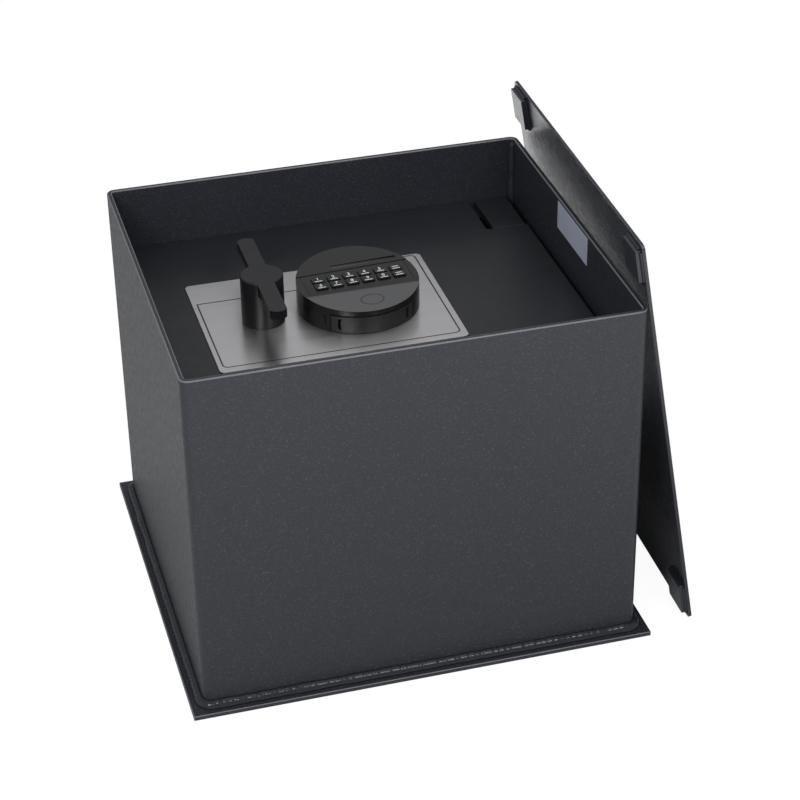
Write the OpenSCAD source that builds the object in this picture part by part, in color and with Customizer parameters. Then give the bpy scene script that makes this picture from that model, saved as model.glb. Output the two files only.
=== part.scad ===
// Floor safe with a sunken door: a welded sheet body on a base flange, a hinged door with a
// turning handle, bolt work and an electronic lock with a round keypad, and a loose cover plate.
// Origin: centre of the underside of the base. +X right, +Y back, +Z up. Millimetres.

/* [Body] */
// Width of the body outside
body_w = 350; // [335:1:400]
// Depth of the body outside
body_d = 316; // [300:1:360]
// Height from the floor to the rim
body_h = 293; // [260:1:340]
// Thickness of the body sheet
wall_t = 4; // [3:0.5:5]
// Outside radius of the bent corners
bend_r = 7; // [5:0.5:10]
// How far the base plate stands out past the body
base_margin = 10; // [8:0.5:16]
// Thickness of the base plate
base_t = 4; // [3:0.5:6]
// Leg of the weld bead round the foot of the body
base_bead_leg = 6; // [4:0.5:7]
// Radius of the bead in the inner corner where the sheet closes
seam_bead_r = 4.5; // [4:0.5:8]
// Diameter of the bolt-down holes in the base
anchor_hole_d = 13; // [10:0.5:16]
// Spacing of the bolt-down holes from left to right
anchor_spacing_w = 230; // [180:1:260]
// Spacing of the bolt-down holes from front to back
anchor_spacing_d = 200; // [160:1:230]

/* [Ledges] */
// Depth from the rim to the top of the door
recess_depth = 53; // [45:1:65]
// Width of the ledges that carry the door
ledge_w = 20; // [16:0.5:22]
// Thickness of the ledges
ledge_t = 5; // [4:0.5:6]
// Width of the rail under the hinge edge
rail_w = 20; // [17:0.5:21]
// Thickness of the rail under the hinge edge
rail_t = 5; // [4:0.5:6]
// Depth of the rail's top below the top of the door
rail_drop = 34; // [33:0.5:36]

/* [Hinge] */
// Width of each hinge block
block_w = 27.5; // [25:0.5:29]
// Length of each hinge block
block_len = 55; // [45:1:65]
// Height of each hinge block
block_h = 22; // [20:0.5:26]
// Space between a hinge block and the side wall
block_side_gap = 6.5; // [5:0.5:8]
// Width of the swing slot beside each hinge block
slot_w = 6.3; // [5:0.1:8]
// Diameter of the hinge pins
pin_d = 8; // [6:0.5:9]
// Depth of the pins' axis below the top of the door
pin_drop = 11.5; // [11.2:0.1:12.4]
// Width of each knuckle under the door
knuckle_w = 14; // [12:0.5:16]
// Length of each knuckle under the door
knuckle_len = 24; // [16:1:30]

/* [Door] */
// Thickness of the door plate
door_t = 6; // [5:0.5:6.5]
// Gap between the door and the front, back and left walls
door_gap = 1; // [0.6:0.1:2]
// Gap between the door's hinge edge and the right wall
hinge_edge_gap = 5; // [4:0.1:6]
// Thin gap between the end of a hinge block and the door
block_end_gap = 0.8; // [0.5:0.1:1.5]
// Thickness of the hard plate over the lock
hard_plate_t = 3; // [2:0.5:4]
// Thickness of the fixed dead bar on the hinge side
dead_bar_t = 5; // [4:0.5:6]
// Length of the dead bar
dead_bar_len = 150; // [100:5:180]

/* [Face plate] */
// Width of the stainless face plate
plate_w = 194.6; // [185:0.2:205]
// Depth of the stainless face plate
plate_d = 140.4; // [132:0.2:150]
// Thickness of the face plate
plate_t = 1.2; // [0.8:0.1:2]
// Radius of the face plate's corners
plate_r = 4; // [2:0.5:8]
// Distance from the handle's middle to the face plate's middle, to the right
plate_offset = 48.4; // [45:0.1:52]
// Middle of the face plate, front or back of the door's middle
plate_y = 2.6; // [-3:0.1:5]

/* [Handle] */
// Distance from the left edge of the door to the handle's middle
handle_inset = 89; // [84:0.5:94]
// Middle of the handle, front or back of the door's middle
handle_y = 3; // [0:0.5:6]
// Diameter of the handle's hub
hub_d = 33.6; // [28:0.2:38]
// Height of the handle above the face plate
handle_h = 40; // [34:0.5:46]
// Length of the handle's cross bar
bar_len = 122.7; // [100:0.1:130]
// Width of the cross bar
bar_w = 13.2; // [11:0.2:16]
// Thickness of the cross bar at its ends
bar_t = 7; // [6:0.5:9]
// Diameter of the spindle
spindle_d = 12; // [11:0.5:13]

/* [Bolt work] */
// Travel of the locking bolts
bolt_travel = 17; // [14:0.5:18]
// Diameter of the locking bolts
bolt_d = 14; // [10:0.5:15]
// Distance from the front and back of the door to the outer locking bolts
bolt_inset = 63; // [60:1:80]
// Thickness of the sliding carriage
carriage_t = 4; // [3:0.5:4.5]
// Diameter of the cam disc on the spindle
cam_d = 40; // [36:0.5:44]
// Thickness of the cam disc
cam_t = 6; // [5.5:0.5:6.5]
// Diameter of the crank pin
crank_pin_d = 5; // [4:0.5:6]
// Diameter of the guide studs
stud_d = 6; // [5:0.5:7]
// Thickness of the pressed boltwork cover
tray_t = 1.5; // [1:0.1:2]
// Depth of the boltwork cover below the door plate
tray_depth = 38; // [37:0.5:41]

/* [Lock] */
// Width of the lock body
lock_w = 61; // [55:1:66]
// Gap between the lock body and the back wall of the boltwork cover
lock_end_gap = 17; // [14:1:28]
// Height of the lock body
lock_h = 30; // [26:0.5:30]
// Travel of the lock bolt
lock_travel = 8; // [6:0.5:9]
// Width of the lock bolt
lock_bolt_w = 12; // [10:0.5:14]

/* [Keypad] */
// Distance from the handle's middle to the keypad's middle, to the right
keypad_offset = 76.5; // [72:0.5:80]
// Middle of the keypad, front or back of the door's middle
keypad_y = 5.4; // [3:0.2:8]
// Turn of the keypad on the door, in degrees
keypad_turn = 3; // [0:0.5:5]
// Diameter of the keypad
keypad_d = 96.4; // [94:0.2:104]
// Height of the keypad at its front
keypad_front_h = 19.5; // [19:0.1:22]
// Height of the keypad at its back
keypad_back_h = 26.5; // [24:0.5:30]
// Thickness of the keypad's moulded wall
shell_t = 1.8; // [1.4:0.1:2.2]
// Distance between neighbouring keys in a row
key_spacing_x = 12.7; // [12:0.1:13.2]
// Distance between the two rows of keys
key_spacing_y = 9.3; // [9.3:0.1:10.4]
// Width of a key cap
key_w = 10; // [9:0.1:10.6]
// Depth of a key cap
key_d = 7.6; // [7:0.1:7.6]
// Travel of a key
key_travel = 1; // [0.6:0.1:1.2]

/* [Cover plate] */
// Length of the cover plate
cover_len = 350; // [340:1:400]
// Width of the cover plate
cover_w = 310; // [300:1:350]
// Thickness of the cover plate
cover_t = 2.5; // [2:0.5:4]
// Lean of the cover plate from upright, in degrees
cover_lean = 9.14; // [8:0.02:12]
// Turn of the leaning cover plate, clockwise from above, in degrees
cover_turn = 0.9; // [0:0.1:1.5]
// Middle of the cover plate, front or back of the body's middle
cover_y = -1.1; // [-5:0.1:5]
// Length of each locating lug
lug_len = 27; // [20:0.5:32]
// Width of each locating lug
lug_w = 28; // [18:0.5:30]
// Thickness of each locating lug
lug_t = 4.5; // [4:0.5:7]

/* [Mat and label] */
// Thickness of the carpet on the floor of the safe
mat_t = 3; // [2:0.5:5]
// Length of the blank label
label_w = 70; // [50:1:80]
// Height of the blank label
label_h = 24; // [18:1:30]

/* [Hidden] */
key_count = 12;
$fn = 48;

// One overrun serves every cut, and one gap every pair of faces that move apart
cut = 1;
face_gap = 0.3;
run_fit = 0.05;
thread_fit = 0.05;
loose_fit = 0.3;

// Levels from the floor up
door_top = body_h - recess_depth;
door_z = door_top - door_t;
ledge_z = door_z - face_gap - ledge_t;
rail_z = door_top - rail_drop - rail_t;
pin_z = door_top - pin_drop;
face_top = door_top + plate_t;

// Inside of the body
inner_w = body_w - 2 * wall_t;
inner_d = body_d - 2 * wall_t;
inner_r_least = 0.5;
inner_r = max(bend_r - wall_t, inner_r_least);
mat_gap = 1;
mat_hole_play = 5;
mat_hole_d = anchor_hole_d + mat_hole_play;
seam_stop = 3;

// Hinge
block_x1 = inner_w / 2 - block_side_gap;
block_x0 = block_x1 - block_w;
block_y0 = inner_d / 2 - block_len;
pin_offset = 0.75;
pin_x = (block_x0 + block_x1) / 2 - pin_offset;
pin_in = 24;
pin_out = knuckle_len + block_end_gap;
pin_chamfer = 1;

// Door plate
door_x0 = -inner_w / 2 + door_gap;
door_x1 = inner_w / 2 - hinge_edge_gap;
door_half_d = inner_d / 2 - door_gap;
door_r = 4;
notch_x0 = block_x0 - slot_w;
notch_y0 = block_y0 - block_end_gap;
notch_r = 3;

// Middles of the handle, the face plate, the keypad and the bolt work
handle_x = door_x0 + handle_inset;
plate_x = handle_x + plate_offset;
keypad_x = handle_x + keypad_offset;
lock_offset = 78;
lock_x = handle_x + lock_offset;
lock_bolt_offset = 71;
lock_bolt_x = handle_x + lock_bolt_offset;
bolt_spacing = door_half_d - bolt_inset;

// The dead bar's lip passes under the rail when the door is shut
dead_bar_back = 24;
dead_bar_x = pin_x - dead_bar_back;
dead_lip_reach = 10;
dead_lip_x = pin_x + dead_lip_reach;
dead_lip_gap = 5;

// Handle and spindle
spindle_in_handle = 20.8;
bush_wall = 2;
bush_flange_d = 24;
bush_flange_t = 2;
handle_z = face_top + face_gap;
handle_top = face_top + handle_h;
hub_round = 1.4;
bar_tip_r = 8;
bar_root_r = 2.5;
web_h = 4;
web_share = 0.3;
handle_screw_d = 5;
handle_screw_rise = 9;
washer_t = 1.7;
washer_d = 20;
cam_z = door_z - bush_flange_t - face_gap - washer_t - cam_t;
square_w = 8;
cam_screw_head_d = 12;
cam_screw_head_t = 3;
cam_screw_d = 5;
cam_screw_len = 12;
cam_pocket_t = 3.5;

// Bolt work: the handle turns a quarter turn and its crank pin moves the carriage
crank_angle = 45;
crank_r = bolt_travel / (2 * sin(crank_angle));
cam_gap = 1;
carriage_top = cam_z - cam_gap;
carriage_z = carriage_top - carriage_t;
bolt_z = carriage_z + carriage_t / 2;
crank_slot_play = 0.45;
crank_slot_w = crank_pin_d + 2 * crank_slot_play;
flange_t = 4;
flange_h = 18;
bolt_tip_gap = 4;
bolt_tip_x = -inner_w / 2 + ledge_w + bolt_tip_gap;
bolt_len = 29;
flange_x0 = bolt_tip_x + bolt_len;
carriage_x0 = flange_x0 + flange_t;
carriage_bar_w = 38;
bar_x1 = carriage_x0 + carriage_bar_w;
bar_end = 15;
bar_half = bolt_spacing + bar_end;
bolt_screw_d = 8;
bolt_screw_in = 14;
bolt_head_d = 13;
bolt_head_t = 4;
bolt_head_room = 3;
bolt_chamfer = 1.2;
tongue_y0 = -16;
tongue_y1 = 15;
shoulder_reach = 22;
shoulder_x1 = handle_x + shoulder_reach;
shoulder_y1 = handle_y + crank_r + crank_slot_w;
stud_inset = 9;
stud_back = 30;
stud_y = bolt_spacing - stud_back;
tongue_stud_offset = 41;
tongue_stud_x = handle_x + tongue_stud_offset;
tongue_stud_y = -2;
stud_places = [[carriage_x0 + stud_inset, stud_y], [carriage_x0 + stud_inset, -stud_y],
               [tongue_stud_x, tongue_stud_y]];
stud_shoulder_d = 10;
stud_play = 0.6;
clip_d = 12;
clip_t = 1.5;
stud_end = 4;

// Lock, as long as the boltwork cover leaves room for
tray_ledge_gap = 6;
tray_half = inner_d / 2 - ledge_w - tray_ledge_gap;
lock_gap = 11;
lock_y0 = tongue_y1 + lock_gap;
lock_len = tray_half - lock_end_gap - lock_y0;
lock_z = door_z - hard_plate_t - lock_h;
lock_r = 4;
lock_bolt_t = 8;
lock_bolt_len = 44;
lock_bolt_y = tongue_y1 + face_gap;
lock_bolt_z = bolt_z - lock_bolt_t / 2;
lock_channel_len = 45;
lock_screw_d = 6;
lock_screw_side = 4;
lock_screw_inset = 8;
lock_screw_head_d = 10;
lock_screw_head_t = 3;
lock_screw_bite = 4;
notch_play = 0.5;
tongue_end = 5.5;
tongue_x1 = lock_bolt_x + lock_bolt_w / 2 + notch_play + bolt_travel + tongue_end;
hard_margin = 6;

// Boltwork cover
tray_inset = 30;
tray_bar_gap = 4;
tray_x0 = door_x0 + tray_inset;
tray_x1 = dead_bar_x - tray_bar_gap;
tray_z = door_z - tray_depth;
tray_r = 6;
post_d = 10;
post_inset = 11;
post_screw_d = 4;
post_screw_head_d = 8;
post_screw_head_t = 2;
post_screw_len = 10;
bolt_hole_play = 2;

// Keypad, in its own frame on the face plate
keypad_r = keypad_d / 2;
keypad_tilt = atan((keypad_back_h - keypad_front_h) / keypad_d);
keypad_mid_h = (keypad_front_h + keypad_back_h) / 2;
shell_r = keypad_r - shell_t;
top_t = 2.2;
ramp_y0 = -16.4;
panel_y0 = -12.3;
band_y0 = 15.8;
band_y1 = 26;
panel_drop = 0.8;
band_drop = 0.3;
back_drop = 0.5;
panel_line_x = 42.4;
panel_line_w = 0.5;
panel_line_deep = 0.3;
strip_x = 11.5;
strip_w = 53;
strip_d = 3.4;
strip_y = 21.6;
strip_t = 1.2;
strip_pocket = 1.7;
keys_in_row = 6;
keys_x = 1.4;
key_r = 1.2;
key_gap = 0.3;
key_top = 0.4;
key_flange = 0.6;
key_flange_t = 1.2;
key_flange_z = -top_t - face_gap - key_flange_t;
key_row_y = 6.2;
key_stop_gap = 0.1;
mat_top_z = key_flange_z - key_travel - key_stop_gap;
key_mat_t = 1.2;
key_mat_w = 73.6;
key_mat_d = 20;
key_mat_y = 1.5;
key_mat_r = 3;
board_t = 1.6;
board_top_z = mat_top_z - key_mat_t;
board_w = 84;
board_y0 = -12;
board_y1 = 38;
board_gap = 2;
board_r = shell_r - board_gap;
shell_post_d = 3;
back_post_x = 20;
back_post_y = 30;
side_post_x = 40.6;
shell_post_places = [[back_post_x, back_post_y], [-back_post_x, back_post_y],
                     [side_post_x, 0], [-side_post_x, 0]];
base_plate_t = 1.5;
base_fit = 0.1;
base_r = shell_r - base_fit;
drawer_half_angle = 43.6;
drawer_play_angle = 0.5;
drawer_z0 = 0.6;
drawer_top = 14.4;
drawer_play = 0.4;
drawer_slot = 1.3;
drawer_w = 52;
drawer_back_y = 6;
drawer_floor = 1;
drawer_wall = 1.6;
drawer_side_h = 7.2;
front_fit = 0.1;
rail_rib_w = 2;
rail_rib_h = 3;
rail_rib_y0 = -34;
rail_rib_y1 = 8;
pull_slot_angle = 34.7;
pull_slot_w = 2.6;
pull_slot_h = 9.6;
slit_angles = [49, -49, 70, -70, 89, -89];
slit_w = 1;
slit_deep = 0.9;
slit_z0 = 4.6;
slit_z1 = 14;
cell_d = 10.4;
cell_len = 43;
cell_spacing = 10.7;
cell_nub_d = 3.8;
cell_nub_len = 0.8;
cell_y0 = -34.2;
cell_count = 4;
keypad_screw_x = 36;
keypad_screw_y = 12;
keypad_screw_d = 4;
keypad_screw_head_d = 8;
keypad_screw_head_t = 2.4;
keypad_screw_bite = 5;
cable_d = 4;
cable_y = 30;
cable_hole_d = 8;

// Cover plate: it stands on the floor and leans on the right rim, or on its upper lugs if they
// come down to the rim's level
cover_r = 4;
lug_side_inset = 3;
lug_end_inset = 5;
lug_bead_leg = 2;
lug_r = 1;
lug_top_h = (cover_len - lug_end_inset) * cos(cover_lean) - lug_t * sin(cover_lean);
lugs_clear = lug_top_h - lug_len * cos(cover_lean) > body_h;
rest_h = lugs_clear ? body_h : min(body_h, lug_top_h);
rest_gap = lugs_clear ? face_gap : face_gap + lug_t;
rest_reach = body_d / 2 - bend_r + cover_y;
cover_foot_x = body_w / 2 + rest_h * tan(cover_lean) / cos(cover_turn)
    + rest_gap / cos(cover_lean) + rest_reach * tan(cover_turn);

// Mat and label
label_t = 0.3;
label_r = 1;
label_y = 1.6;
label_drop = 2.2;

// Shared shapes

module rounded_rect(w, d, r) {
    square([w - 2 * r, d], center = true);
    square([w, d - 2 * r], center = true);
    for (sx = [-1, 1], sy = [-1, 1])
        translate([sx * (w / 2 - r), sy * (d / 2 - r)])
            circle(r);
}

module box_from(x0, x1, y0, y1) {
    translate([x0, y0])
        square([x1 - x0, y1 - y0]);
}

// A slot with round ends, from its first centre along +X
module slot_shape(run, d) {
    translate([0, -d / 2])
        square([run, d]);
    circle(d / 2);
    translate([run, 0])
        circle(d / 2);
}

module inner_outline() {
    rounded_rect(inner_w, inner_d, inner_r);
}

module front_and_back() {
    children();
    mirror([0, 1, 0])
        children();
}

// A round bar along +Z with a chamfer at its far end
module chamfered_rod(d, len, chamfer) {
    rotate_extrude()
        polygon([[0, 0], [d / 2, 0], [d / 2, len - chamfer], [d / 2 - chamfer, len], [0, len]]);
}

// A plain screw that points up from the underside of its head
module screw(d, len, head_d, head_t) {
    translate([0, 0, -head_t])
        cylinder(h = head_t, d = head_d);
    cylinder(h = len, d = d);
}

// A convex weld bead in section, in the corner between two faces
module bead_section(leg) {
    intersection() {
        circle(leg);
        square(leg);
    }
}

module bead_run(length, leg) {
    rotate([90, 0, 0])
        translate([0, 0, -length / 2])
            linear_extrude(length)
                bead_section(leg);
}

// Body

module body_shell() {
    color("#3d3e43")
        translate([0, 0, base_t])
            linear_extrude(body_h - base_t)
                difference() {
                    rounded_rect(body_w, body_d, bend_r);
                    inner_outline();
                }
}

module anchor_holes(d) {
    for (sx = [-1, 1], sy = [-1, 1])
        translate([sx * anchor_spacing_w / 2, sy * anchor_spacing_d / 2])
            circle(d = d);
}

module base_plate() {
    color("#37383c")
        linear_extrude(base_t)
            difference() {
                square([body_w + 2 * base_margin, body_d + 2 * base_margin], center = true);
                anchor_holes(anchor_hole_d);
            }
}

module base_weld() {
    color("#55565b")
        translate([0, 0, base_t]) {
            for (turn = [0, 180]) {
                rotate([0, 0, turn])
                    translate([body_w / 2, 0, 0])
                        bead_run(body_d - 2 * bend_r, base_bead_leg);
                rotate([0, 0, turn + 90])
                    translate([body_d / 2, 0, 0])
                        bead_run(body_w - 2 * bend_r, base_bead_leg);
            }
            for (i = [0:3])
                translate([[1, -1, -1, 1][i] * (body_w / 2 - bend_r),
                           [1, 1, -1, -1][i] * (body_d / 2 - bend_r), 0])
                    rotate([0, 0, i * 90])
                        rotate_extrude(angle = 90)
                            translate([bend_r, 0])
                                bead_section(base_bead_leg);
        }
}

module corner_weld() {
    foot = base_t + mat_t + face_gap;
    color("#4a4b50")
        translate([0, 0, foot])
            linear_extrude(body_h - seam_stop - foot)
                intersection() {
                    translate([inner_w / 2, inner_d / 2])
                        circle(seam_bead_r);
                    inner_outline();
                }
}

module ledge(x0, x1, y0, y1) {
    color("#2f3034")
        translate([0, 0, ledge_z])
            linear_extrude(ledge_t)
                intersection() {
                    inner_outline();
                    box_from(x0, x1, y0, y1);
                }
}

module back_ledge() {
    ledge(-inner_w / 2, block_x0, inner_d / 2 - ledge_w, inner_d / 2);
}

module front_ledge() {
    ledge(-inner_w / 2, block_x0, -inner_d / 2, -inner_d / 2 + ledge_w);
}

module left_ledge() {
    ledge(-inner_w / 2, -inner_w / 2 + ledge_w, -inner_d / 2 + ledge_w, inner_d / 2 - ledge_w);
}

module hinge_rail() {
    rail_half = inner_d / 2 - seam_bead_r - face_gap;
    color("#2f3034")
        translate([inner_w / 2 - rail_w, -rail_half, rail_z])
            cube([rail_w, 2 * rail_half, rail_t]);
}

module hinge_blocks() {
    color("#2c2d31")
        front_and_back()
            difference() {
                translate([block_x0, block_y0, door_top - block_h])
                    cube([block_w, block_len, block_h]);
                translate([pin_x, block_y0 + pin_in, pin_z])
                    rotate([90, 0, 0])
                        cylinder(h = pin_in + cut, d = pin_d + 2 * run_fit);
            }
}

module hinge_pins() {
    color("#a6a8ab")
        front_and_back()
            translate([pin_x, block_y0 + pin_in - face_gap, pin_z])
                rotate([90, 0, 0])
                    chamfered_rod(pin_d, pin_in - face_gap + pin_out, pin_chamfer);
}

module floor_mat() {
    color("#26272b")
        translate([0, 0, base_t])
            linear_extrude(mat_t)
                difference() {
                    rounded_rect(inner_w - 2 * mat_gap, inner_d - 2 * mat_gap, inner_r);
                    anchor_holes(mat_hole_d);
                }
}

module blank_label() {
    color("#b9bcd6")
        translate([inner_w / 2, label_y, body_h - label_drop - label_h / 2])
            rotate([0, -90, 0])
                linear_extrude(label_t)
                    rounded_rect(label_h, label_w, label_r);
}

// Door

module door_outline() {
    difference() {
        translate([(door_x0 + door_x1) / 2, 0])
            rounded_rect(door_x1 - door_x0, 2 * door_half_d, door_r);
        for (sy = [-1, 1])
            scale([1, sy])
                translate([notch_x0, notch_y0]) {
                    translate([notch_r, 0])
                        square([door_x1 - notch_x0, door_half_d - notch_y0 + cut]);
                    translate([0, notch_r])
                        square([door_x1 - notch_x0, door_half_d - notch_y0 + cut]);
                    translate([notch_r, notch_r])
                        circle(notch_r);
                }
    }
}

module door_plate() {
    color("#222327")
        difference() {
            translate([0, 0, door_z])
                linear_extrude(door_t)
                    difference() {
                        door_outline();
                        translate([handle_x, handle_y])
                            circle(spindle_d / 2 + bush_wall);
                        keypad_flat() {
                            translate([0, cable_y])
                                circle(d = cable_hole_d);
                            keypad_screw_spots()
                                circle(d = keypad_screw_d + 2 * thread_fit);
                        }
                    }
            lock_screw_spots()
                translate([0, 0, door_z - cut])
                    cylinder(h = lock_screw_bite + thread_fit + cut, d = lock_screw_d + 2 * thread_fit);
        }
}

module hinge_knuckles() {
    color("#2c2d31")
        front_and_back()
            translate([pin_x, notch_y0 - knuckle_len, pin_z])
                rotate([90, 0, 0])
                    mirror([0, 0, 1])
                        linear_extrude(knuckle_len)
                            knuckle_section();
}

// Round below the pin and flat against the underside of the door
module knuckle_section() {
    half_w = knuckle_w / 2;
    difference() {
        intersection() {
            union() {
                circle(half_w);
                box_from(-half_w, half_w, 0, half_w);
            }
            box_from(-half_w, half_w, -half_w, door_z - pin_z);
        }
        circle(pin_d / 2 + run_fit);
    }
}

module dead_bar() {
    lip_top = rail_z - dead_lip_gap;
    color("#2c2d31")
        translate([0, dead_bar_len / 2, 0])
            rotate([90, 0, 0])
                linear_extrude(dead_bar_len) {
                    box_from(dead_bar_x, dead_bar_x + dead_bar_t, lip_top - dead_bar_t, door_z);
                    box_from(dead_bar_x, dead_lip_x, lip_top - dead_bar_t, lip_top);
                }
}

module face_plate() {
    color("#96928f")
        translate([0, 0, door_top])
            linear_extrude(plate_t)
                difference() {
                    translate([plate_x, plate_y])
                        rounded_rect(plate_w, plate_d, plate_r);
                    translate([handle_x, handle_y])
                        circle(spindle_d / 2 + bush_wall);
                    keypad_flat() {
                        translate([0, cable_y])
                            circle(d = cable_hole_d);
                        keypad_screw_spots()
                            circle(d = keypad_screw_d + 2 * loose_fit);
                    }
                }
}

module lock_screw_spots() {
    for (sx = [-1, 1], y = [lock_y0 + lock_screw_inset, lock_y0 + lock_len - lock_screw_inset])
        translate([lock_x + sx * (lock_w / 2 - lock_screw_side), y, 0])
            children();
}

module hard_plate() {
    color("#6f7276")
        translate([0, 0, door_z - hard_plate_t])
            linear_extrude(hard_plate_t)
                difference() {
                    translate([lock_x, lock_y0 + lock_len / 2])
                        rounded_rect(lock_w + 2 * hard_margin, lock_len + hard_margin, lock_r);
                    lock_screw_spots()
                        circle(d = lock_screw_d + 2 * loose_fit);
                    keypad_flat()
                        translate([0, cable_y])
                            circle(d = cable_hole_d);
                }
}

module spindle_bush() {
    color("#b08d4a")
        translate([handle_x, handle_y, 0])
            difference() {
                union() {
                    translate([0, 0, door_z])
                        cylinder(h = door_t + plate_t, d = spindle_d + 2 * bush_wall);
                    translate([0, 0, door_z - bush_flange_t])
                        cylinder(h = bush_flange_t, d = bush_flange_d);
                }
                translate([0, 0, door_z - bush_flange_t - cut])
                    cylinder(h = door_t + plate_t + bush_flange_t + 2 * cut, d = spindle_d + 2 * run_fit);
            }
}

module guide_studs() {
    color("#9a9ca0")
        for (p = stud_places)
            translate([p[0], p[1], 0]) {
                translate([0, 0, carriage_top + face_gap])
                    cylinder(h = door_z - carriage_top - face_gap, d = stud_shoulder_d);
                translate([0, 0, carriage_z - stud_end])
                    cylinder(h = carriage_t + face_gap + stud_end, d = stud_d);
            }
}

module guide_clips() {
    color("#5d5f63")
        for (p = stud_places)
            translate([p[0], p[1], carriage_z - face_gap - clip_t])
                difference() {
                    cylinder(h = clip_t, d = clip_d);
                    translate([0, 0, -cut])
                        cylinder(h = clip_t + 2 * cut, d = stud_d + 2 * thread_fit);
                }
}

module tray_outline(inset) {
    translate([(tray_x0 + tray_x1) / 2, 0])
        rounded_rect(tray_x1 - tray_x0 - 2 * inset, 2 * tray_half - 2 * inset, tray_r - inset);
}

module boltwork_cover() {
    color("#3d3e43")
        difference() {
            translate([0, 0, tray_z])
                linear_extrude(tray_depth)
                    tray_outline(0);
            translate([0, 0, tray_z + tray_t])
                linear_extrude(tray_depth)
                    tray_outline(tray_t);
            for (i = [-1:1])
                translate([tray_x0 - cut, i * bolt_spacing, bolt_z])
                    rotate([0, 90, 0])
                        cylinder(h = tray_t + 2 * cut, d = bolt_d + bolt_hole_play);
            post_spots()
                translate([0, 0, tray_z - cut])
                    cylinder(h = tray_t + 2 * cut, d = post_screw_d + 2 * loose_fit);
        }
}

module post_spots() {
    for (x = [tray_x0 + post_inset, tray_x1 - post_inset], sy = [-1, 1])
        translate([x, sy * (tray_half - post_inset), 0])
            children();
}

module cover_posts() {
    color("#9a9ca0")
        post_spots()
            difference() {
                translate([0, 0, tray_z + tray_t])
                    cylinder(h = tray_depth - tray_t, d = post_d);
                translate([0, 0, tray_z])
                    cylinder(h = post_screw_len + tray_t + cut, d = post_screw_d + 2 * thread_fit);
            }
}

module cover_screws() {
    color("#9a9ca0")
        post_spots()
            translate([0, 0, tray_z])
                screw(post_screw_d, post_screw_len, post_screw_head_d, post_screw_head_t);
}

// Lock

module lock_body() {
    channel_w = lock_bolt_w + 2 * face_gap;
    channel_h = lock_bolt_t + 2 * face_gap;
    color("#8d8f92")
        difference() {
            translate([lock_x, lock_y0 + lock_len / 2, lock_z])
                linear_extrude(lock_h)
                    rounded_rect(lock_w, lock_len, lock_r);
            translate([lock_bolt_x - channel_w / 2, lock_y0 - cut, bolt_z - channel_h / 2])
                cube([channel_w, lock_channel_len + cut, channel_h]);
            lock_screw_spots()
                translate([0, 0, lock_z - cut])
                    cylinder(h = lock_h + 2 * cut, d = lock_screw_d + 2 * loose_fit);
        }
}

module lock_screws() {
    color("#b5b7ba")
        lock_screw_spots()
            translate([0, 0, lock_z])
                screw(lock_screw_d, lock_h + hard_plate_t + lock_screw_bite,
                      lock_screw_head_d, lock_screw_head_t);
}

module lock_bolt() {
    color("#b08d4a")
        translate([lock_bolt_x - lock_bolt_w / 2, lock_bolt_y, lock_bolt_z])
            cube([lock_bolt_w, lock_bolt_len, lock_bolt_t]);
}

// Handle

module handle() {
    color("#2a2b2f")
        translate([handle_x, handle_y, 0])
            difference() {
                union() {
                    translate([0, 0, handle_z])
                        rotate_extrude()
                            hub_section(hub_d / 2, handle_top - handle_z);
                    translate([0, 0, handle_top - bar_t])
                        linear_extrude(bar_t)
                            bar_outline();
                    handle_webs();
                }
                translate([0, 0, handle_z - cut])
                    cylinder(h = spindle_in_handle + cut, d = spindle_d + 2 * run_fit);
                translate([0, 0, handle_z + handle_screw_rise])
                    rotate([-90, 0, 0])
                        cylinder(h = hub_d / 2 + cut, d = handle_screw_d + 2 * thread_fit);
            }
}

module hub_section(r, h) {
    square([r, h - hub_round]);
    square([r - hub_round, h]);
    translate([r - hub_round, h - hub_round])
        circle(hub_round);
}

// Arms with arched tips and a small hollow where they leave the hub
module bar_outline() {
    intersection() {
        square([bar_w, bar_len], center = true);
        union() {
            square([bar_w, bar_len - 2 * bar_tip_r], center = true);
            for (sy = [-1, 1])
                translate([0, sy * (bar_len / 2 - bar_tip_r)])
                    circle(bar_tip_r);
        }
    }
    root_r = hub_d / 2 - hub_round;
    hollow_x = bar_w / 2 + bar_root_r;
    hollow_y = sqrt(pow(root_r + bar_root_r, 2) - pow(hollow_x, 2));
    share = root_r / (root_r + bar_root_r);
    for (sx = [-1, 1], sy = [-1, 1])
        scale([sx, sy])
            difference() {
                polygon([[0, 0], [hollow_x * share, hollow_y * share], [hollow_x, hollow_y],
                         [bar_w / 2, hollow_y], [0, hollow_y]]);
                translate([hollow_x, hollow_y])
                    circle(bar_root_r);
            }
}

// The underside of each arm swells down to the hub
module handle_webs() {
    root = hub_d / 2 - hub_round;
    tip = root + (bar_len / 2 - root) * web_share;
    for (turn = [0, 180])
        rotate([0, 0, turn])
            translate([-bar_w / 2, 0, handle_top - bar_t])
                rotate([90, 0, 90])
                    linear_extrude(bar_w)
                        polygon([[0, cut], [0, -web_h], [root, -web_h], [tip, 0], [tip, cut]]);
}

module spindle() {
    top = handle_z + spindle_in_handle - face_gap;
    square_z = cam_z + cam_pocket_t;
    color("#a6a8ab")
        translate([handle_x, handle_y, 0])
            difference() {
                union() {
                    translate([0, 0, cam_z + cam_t])
                        cylinder(h = top - cam_z - cam_t, d = spindle_d);
                    translate([-square_w / 2, -square_w / 2, square_z])
                        cube([square_w, square_w, cam_t - cam_pocket_t + cut]);
                }
                translate([0, 0, square_z - cut])
                    cylinder(h = cam_screw_len + 2 * cut, d = cam_screw_d + 2 * thread_fit);
            }
}

module handle_screw() {
    color("#1d1d20")
        translate([handle_x, handle_y + spindle_d / 2 + run_fit, handle_z + handle_screw_rise])
            rotate([-90, 0, 0])
                cylinder(h = (hub_d - spindle_d) / 2 - hub_round, d = handle_screw_d);
}

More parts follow.
